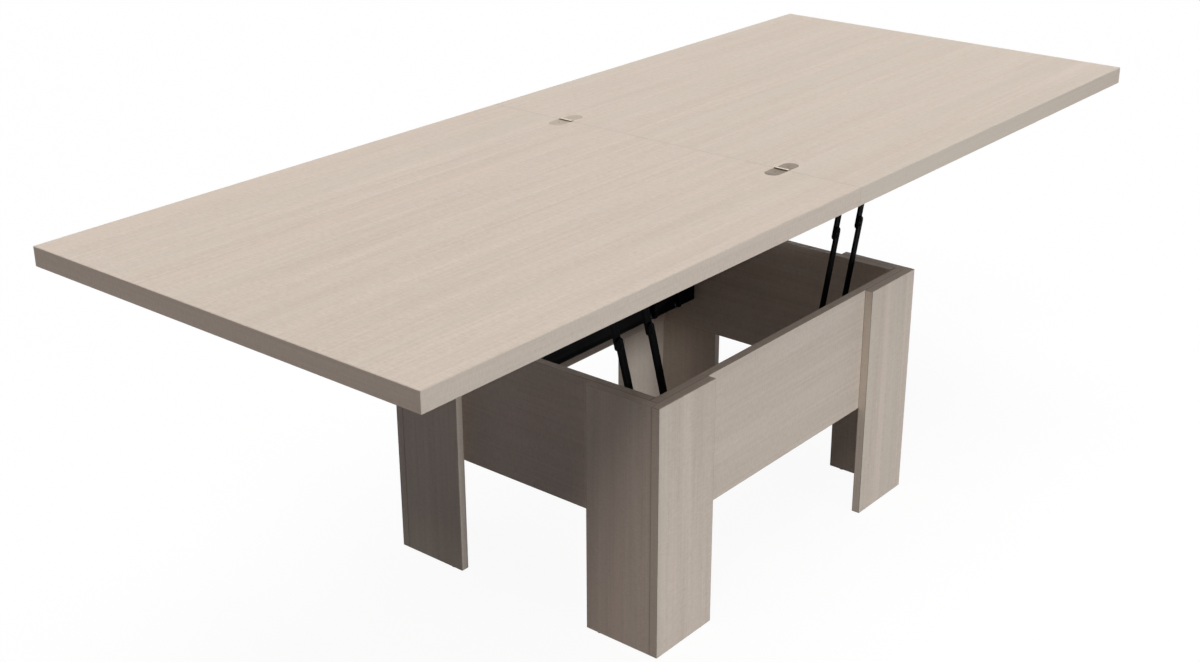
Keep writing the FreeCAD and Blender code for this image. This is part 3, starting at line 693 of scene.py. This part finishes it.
def set_out(node, model, places, name):
    """Copy a model to its places, and join the copies to one piece that stands for the node."""
    copies = []
    for foot, direction in places:
        only(model)
        bpy.ops.object.duplicate()
        copy = bpy.context.object
        copy.location = foot
        copy.rotation_euler = direction.to_track_quat("Z", "Y").to_euler()
        copies.append(copy)
    bpy.data.objects.remove(model)
    only(*copies)
    bpy.ops.object.join()
    bpy.ops.object.transform_apply(location=True, rotation=True, scale=True)
    bpy.ops.object.shade_smooth_by_angle(angle=SMOOTH_ANGLE)
    piece = bpy.context.object
    piece.name = name
    stand_for(piece, node)
    print(f"{piece.name}: {len(copies)} of them, {len(piece.data.polygons)} faces")


def turn_out(node, outline, sense=OUTWARD, finish_off=None):
    """Turn a part to the length and radius of a node's solids, and set it out in their places."""
    boxes = solids(node)
    axis = turning_axis(boxes[0])
    size = boxes[0][1] - boxes[0][0]
    length, radius = size[axis], size[axis - 1]/2
    model = turned(f"{node}_model", outline(length, radius))
    if finish_off:
        finish_off(model, length)
    set_out(node, model, [seat(box, axis, sense) for box in boxes], f"{node}_turned")


print(f"copies are smooth where they bend by less than {math.degrees(SMOOTH_ANGLE):.0f} degrees")

# %% [markdown]
# ## Pins, rivets and washers
#
# An arm hangs on headed pins. The head has an eased rim and the dimple that the lathe centre left, and the
# foot is hammered over to a low dome. Rivets hold the two bars of an arm together, with a dome on both sides.
# Washers keep the arms off the rails. The stop pins and the tie rod are plain rods with chamfered ends.

# %% Turn the pins, rivets and washers
PIN_RADIUS, PIN_HEAD, PIN_COLLAR, COLLAR_RADIUS = 4.0*MM, 3.0*MM, 2.0*MM, 5.5*MM
RIVET_RADIUS, RIVET_DOME = 2.0*MM, 1.5*MM
WASHER_BORE = 4.05*MM
RIM_EASE, WASHER_EASE, ROD_CHAMFER = 0.6*MM, 0.25*MM, 0.8*MM
DIMPLE_RADIUS, DIMPLE_DEPTH = 1.4*MM, 0.6*MM
AXIS = 0.0


def pivot_pin(length, head):
    under_head = length - PIN_HEAD
    foot = dome((COLLAR_RADIUS, PIN_COLLAR - RIM_EASE), (AXIS, 0.0))[::-1]
    shank = [(COLLAR_RADIUS, PIN_COLLAR), (PIN_RADIUS, PIN_COLLAR), (PIN_RADIUS, under_head)]
    rim = [(head, under_head), (head, length - RIM_EASE), (head - RIM_EASE, length)]
    dimple = [(DIMPLE_RADIUS, length), (AXIS, length - DIMPLE_DEPTH)]
    return foot + shank + rim + dimple


def rivet(length, head):
    low, high = RIVET_DOME, length - RIVET_DOME
    shank = [(RIVET_RADIUS, low), (RIVET_RADIUS, high)]
    return dome((head, low), (AXIS, 0.0))[::-1] + shank + dome((head, high), (AXIS, length))


def washer(length, rim):
    lower = [(WASHER_BORE, 0.0), (rim - WASHER_EASE, 0.0), (rim, WASHER_EASE)]
    upper = [(rim, length - WASHER_EASE), (rim - WASHER_EASE, length), (WASHER_BORE, length)]
    return lower + upper + lower[:1]


def chamfered_rod(length, radius):
    foot = [(AXIS, 0.0), (radius - ROD_CHAMFER, 0.0), (radius, ROD_CHAMFER)]
    head = [(radius, length - ROD_CHAMFER), (radius - ROD_CHAMFER, length), (AXIS, length)]
    return foot + head


turn_out("lift_lower_pins", pivot_pin, OUTWARD)
turn_out("support_lower_pins", pivot_pin, INWARD)
turn_out("lift_upper_pins", pivot_pin, INWARD)
turn_out("support_upper_pins", pivot_pin, OUTWARD)
for arm in ("lift_outer", "lift_inner", "support_outer", "support_inner"):
    turn_out(f"{arm}_rivets", rivet)
turn_out("pivot_washers", washer)
turn_out("stop_pins", chamfered_rod)
turn_out("lift_tie_rod", chamfered_rod)

# %% [markdown]
# ## Screws
#
# The screws in the base and under the top have pan heads, and those of the hinges are countersunk, flush
# with the plate. What makes either read as a screw is the cross slot for the driver. Its cutter starts as a
# cube whose four sides are extruded to a cross, and the foot is drawn in as the driver's tip is. A Boolean
# modifier takes it away from the turned head. The cutter is turned by half a facet of the lathe, because a
# cut that runs exactly along an edge of the head would leave slivers. The slot is cut once, in the model,
# before the model is copied.

# %% Turn and slot the screws
SCREW_RADIUS, SCREW_TIP = 2.0*MM, 4.0*MM
PAN_HEIGHT, PAN_RIM = 2.5*MM, 0.8*MM
SUNK_HEIGHT, SUNK_EASE = 2.2*MM, 0.15*MM
SLOT_LENGTH, SLOT_WIDTH, SLOT_DEPTH = 4.6*MM, 1.2*MM, 1.3*MM
SLOT_TAPER = 0.6
HALF_FACET = math.pi/SPIN_STEPS


def pan_screw(length, head):
    under_head = length - PAN_HEIGHT
    shank = [(AXIS, 0.0), (SCREW_RADIUS, SCREW_TIP), (SCREW_RADIUS, under_head), (head, under_head)]
    return shank + dome((head, under_head + PAN_RIM), (AXIS, length))


def sunk_screw(length, head):
    shank = [(AXIS, 0.0), (SCREW_RADIUS, SCREW_TIP), (SCREW_RADIUS, length - SUNK_HEIGHT)]
    return shank + [(head, length - SUNK_EASE), (head - SUNK_EASE, length), (AXIS, length)]


def slot_cutter(top):
    """A cross that reaches as far above the head as into it, with its foot drawn in."""
    bpy.ops.object.select_all(action="DESELECT")
    core = (SLOT_WIDTH, SLOT_WIDTH, 2*SLOT_DEPTH)
    bpy.ops.mesh.primitive_cube_add(size=1, location=(0, 0, top), rotation=(0, 0, HALF_FACET), scale=core)
    cutter = bpy.context.object
    bpy.ops.object.transform_apply(location=True, rotation=True, scale=True)
    pick(cutter, "FACE", lambda face: abs(face.normal.z) < UPRIGHT)
    reach = (SLOT_LENGTH - SLOT_WIDTH)/2
    bpy.ops.mesh.extrude_faces_move(TRANSFORM_OT_shrink_fatten={"value": reach})
    bpy.ops.object.mode_set(mode="OBJECT")
    pick(cutter, "FACE", lambda face: face.normal.z < -LEVEL)
    bpy.ops.transform.resize(value=(SLOT_TAPER, SLOT_TAPER, 1), center_override=(0, 0, top))
    bpy.ops.object.mode_set(mode="OBJECT")
    return cutter


def cross_slot(screw, length):
    cutter = slot_cutter(length)
    only(screw)
    cut = screw.modifiers.new("cross_slot", "BOOLEAN")
    cut.operation = "DIFFERENCE"
    cut.object = cutter
    bpy.ops.object.modifier_apply(modifier=cut.name)
    bpy.data.objects.remove(cutter)


turn_out("apron_screws", pan_screw, INWARD, cross_slot)
turn_out("base_rail_screws", pan_screw, INWARD, cross_slot)
turn_out("lift_angle_screws", pan_screw, DOWN, cross_slot)
turn_out("hinge_screws_fixed", sunk_screw, UP, cross_slot)
turn_out("hinge_screws_folding", sunk_screw, UP, cross_slot)

# %% [markdown]
# ## Glides and pads
#
# The leg boards stand on plastic glides: a disc with a rounded rim and a sunk hole for its nail, turned on
# the lathe like the pins. The pads that the second leaf glides on are flat plastic blocks. One is modelled
# from a cube: its upright edges are rounded first, and then the rim of the sliding face is eased, so that it
# would ride over the edge of a board. The order matters, because the rim then runs round the corners.

# %% Turn the glides and mould the pads
GLIDE_ROUND, NAIL_RADIUS, NAIL_SEAT, NAIL_DEPTH = 1.2*MM, 2.2*MM, 1.5*MM, 0.7*MM
PAD_CORNER, PAD_CORNER_STEPS = 3.0*MM, 4
PAD_EASE, PAD_EASE_STEPS = 0.8*MM, 2


def glide(length, radius):
    nail_hole = [(AXIS, NAIL_DEPTH), (NAIL_SEAT, NAIL_DEPTH), (NAIL_RADIUS, 0.0)]
    rim = dome((radius, GLIDE_ROUND), (radius - GLIDE_ROUND, 0.0))[::-1]
    return nail_hole + rim + [(radius, length), (AXIS, length)]


def pad_block(size):
    """A pad that stands on the origin, with its sliding face on top."""
    bpy.ops.object.select_all(action="DESELECT")
    bpy.ops.mesh.primitive_cube_add(size=1, location=(0, 0, size.z/2), scale=size)
    block = bpy.context.object
    bpy.ops.object.transform_apply(location=True, rotation=True, scale=True)

    def upright(edge):
        first, second = (block.data.vertices[index].co for index in edge.vertices)
        return abs(first.z - second.z) > size.z/2

    pick(block, "EDGE", upright)
    bpy.ops.mesh.bevel(offset=PAD_CORNER, segments=PAD_CORNER_STEPS)
    bpy.ops.object.mode_set(mode="OBJECT")
    pick(block, "FACE", lambda face: face.normal.z > LEVEL)
    bpy.ops.mesh.bevel(offset=PAD_EASE, segments=PAD_EASE_STEPS)
    bpy.ops.object.mode_set(mode="OBJECT")
    return block


turn_out("leg_glides", glide, UP)
pad_boxes = solids("carriage_pads")
pad_model = pad_block(pad_boxes[0][1] - pad_boxes[0][0])
set_out("carriage_pads", pad_model, [seat(box, Z, UP) for box in pad_boxes], "carriage_pads_moulded")

# %% [markdown]
# ## A white studio
#
# The table stands on white in a plain studio. A white floor would throw light back into the shade. So floor
# and surroundings are white only to the camera and to reflections, which Light Path can tell, and a dim rosy
# grey to light that bounces. A small share of plain diffuse stays in the white of the floor, to keep the
# shadow.

# %% Lay the floor and the background
FLOOR_RADIUS, FLOOR_SIDES = 40.0, 96
WHITE = (1.0, 1.0, 1.0, 1.0)
SHADE_TINT = (1.0, 0.86, 0.97)
FLOOR_GREY, AMBIENT = 0.085, 0.05
SHADOW_SHARE = 0.06


def shade_colour(level):
    """A dim rosy grey."""
    return tuple(share*level for share in SHADE_TINT) + (1.0,)


def seen_directly(owner):
    """1 for rays from the camera, and for those that a reflection or glass passes on."""
    path = owner.node("ShaderNodeLightPath", {})
    camera_ray = Field(owner, path.outputs["Is Camera Ray"])
    return camera_ray.most(path.outputs["Is Glossy Ray"]).most(path.outputs["Is Transmission Ray"])


def studio_floor():
    bpy.ops.object.select_all(action="DESELECT")
    bpy.ops.mesh.primitive_circle_add(vertices=FLOOR_SIDES, radius=FLOOR_RADIUS, fill_type="NGON")
    floor = bpy.context.object
    floor.name = "studio_floor"
    finish = Finish("studio_floor")
    finish.tree.nodes.remove(finish.shader)
    white = finish.node("ShaderNodeEmission", {}, WHITE)
    shadowed = finish.node("ShaderNodeBsdfDiffuse", {}, WHITE)
    dim = finish.node("ShaderNodeBsdfDiffuse", {}, shade_colour(FLOOR_GREY))
    shown = finish.node("ShaderNodeMixShader", {}, SHADOW_SHARE, white.outputs[0], shadowed.outputs[0])
    choice = finish.node("ShaderNodeMixShader", {}, seen_directly(finish), dim.outputs[0], shown.outputs[0])
    finish.feed(finish.tree.nodes["Material Output"].inputs["Surface"], choice.outputs[0])
    floor.data.materials.append(finish.material)


def studio_world():
    world = bpy.data.worlds.new("studio")
    bpy.context.scene.world = world
    world.use_nodes = True
    sky = ShaderTree(world.node_tree)
    colour = sky.blend(seen_directly(sky), shade_colour(AMBIENT), WHITE)
    sky.feed(sky.tree.nodes["Background"].inputs["Color"], colour)


studio_floor()
studio_world()
print(f"a white floor that bounces {FLOOR_GREY} of the light, under ambient light of {AMBIENT}")

# %% [markdown]
# ## Lamps
#
# A ceiling light and a light over the left front corner give the top its full level. Below it they reach only
# the rim and the near leg, and the ends further back stay in shade. Two weak lights from the right and from
# behind keep those sides readable. These are sun lamps with a wide angle: their light does not fade with
# distance, so the long top is even, and the shadows are soft.
#
# The front light is a round lamp that stands low and close, in line with the left end of the base. From there
# it shines in under the aprons as far as the back legs and leaves the left end dark. It points past the right
# end of the table, as photographers feather a lamp: the edge of its beam falls on the near end and the middle
# on the far end, so the front is lit evenly.

# %% Light the table
WARM, PALE, COOL = (1.0, 0.93, 0.87), (0.955, 0.98, 1.0), (0.91, 0.965, 1.0)
LAMPS = {
    "ceiling_light": {"from_above": 90.0, "from_right": 0.0, "spread": 40.0, "level": 0.59, "colour": PALE},
    "corner_light": {"from_above": 50.0, "from_right": -59.0, "spread": 18.0, "level": 0.28, "colour": WARM},
    "right_light": {"from_above": 10.0, "from_right": 85.0, "spread": 40.0, "level": 0.30, "colour": PALE},
    "back_light": {"from_above": 10.0, "from_right": 178.0, "spread": 40.0, "level": 0.36, "colour": PALE},
}
LAMP_PLACE = (0.0, 0.0, 3.0)
FRONT_PLACE, FRONT_AIM = Vector((-0.55, -3.8, 0.42)), Vector((1.1, -0.3, 0.3))
FRONT_SIZE, FRONT_LEVEL = 0.7, 0.48


def soft_lamp(name, from_above, from_right, spread, level, colour):
    """A sun lamp, with its angles in degrees above the horizon and to the right of the front.

    At level 1 a surface that faces it shows its colour as written.
    """
    turn = Euler((math.radians(90 - from_above), 0, math.radians(from_right)))
    bpy.ops.object.light_add(type="SUN", location=LAMP_PLACE, rotation=turn)
    lamp = bpy.context.object
    lamp.name = name
    lamp.data.angle = math.radians(spread)
    lamp.data.energy = math.pi*level
    lamp.data.color = colour


def front_lamp():
    """A round lamp. At level 1 a surface that faces it at its aim shows its colour as written."""
    reach = FRONT_AIM - FRONT_PLACE
    turn = reach.to_track_quat("-Z", "Y").to_euler()
    bpy.ops.object.light_add(type="AREA", location=FRONT_PLACE, rotation=turn)
    lamp = bpy.context.object
    lamp.name = "front_light"
    lamp.data.shape = "DISK"
    lamp.data.size = FRONT_SIZE
    lamp.data.energy = FRONT_LEVEL*(math.pi*reach.length)**2
    lamp.data.color = COOL


front_lamp()
for name, settings in LAMPS.items():
    soft_lamp(name, **settings)
print(f"{len(LAMPS)} soft lamps and the front lamp, which is {FRONT_PLACE.length:.1f} m away")

# %% [markdown]
# ## The size of the table
#
# The looks must not change the size of the table. This last cell only imports the json module.

# %% Import the json module
import json
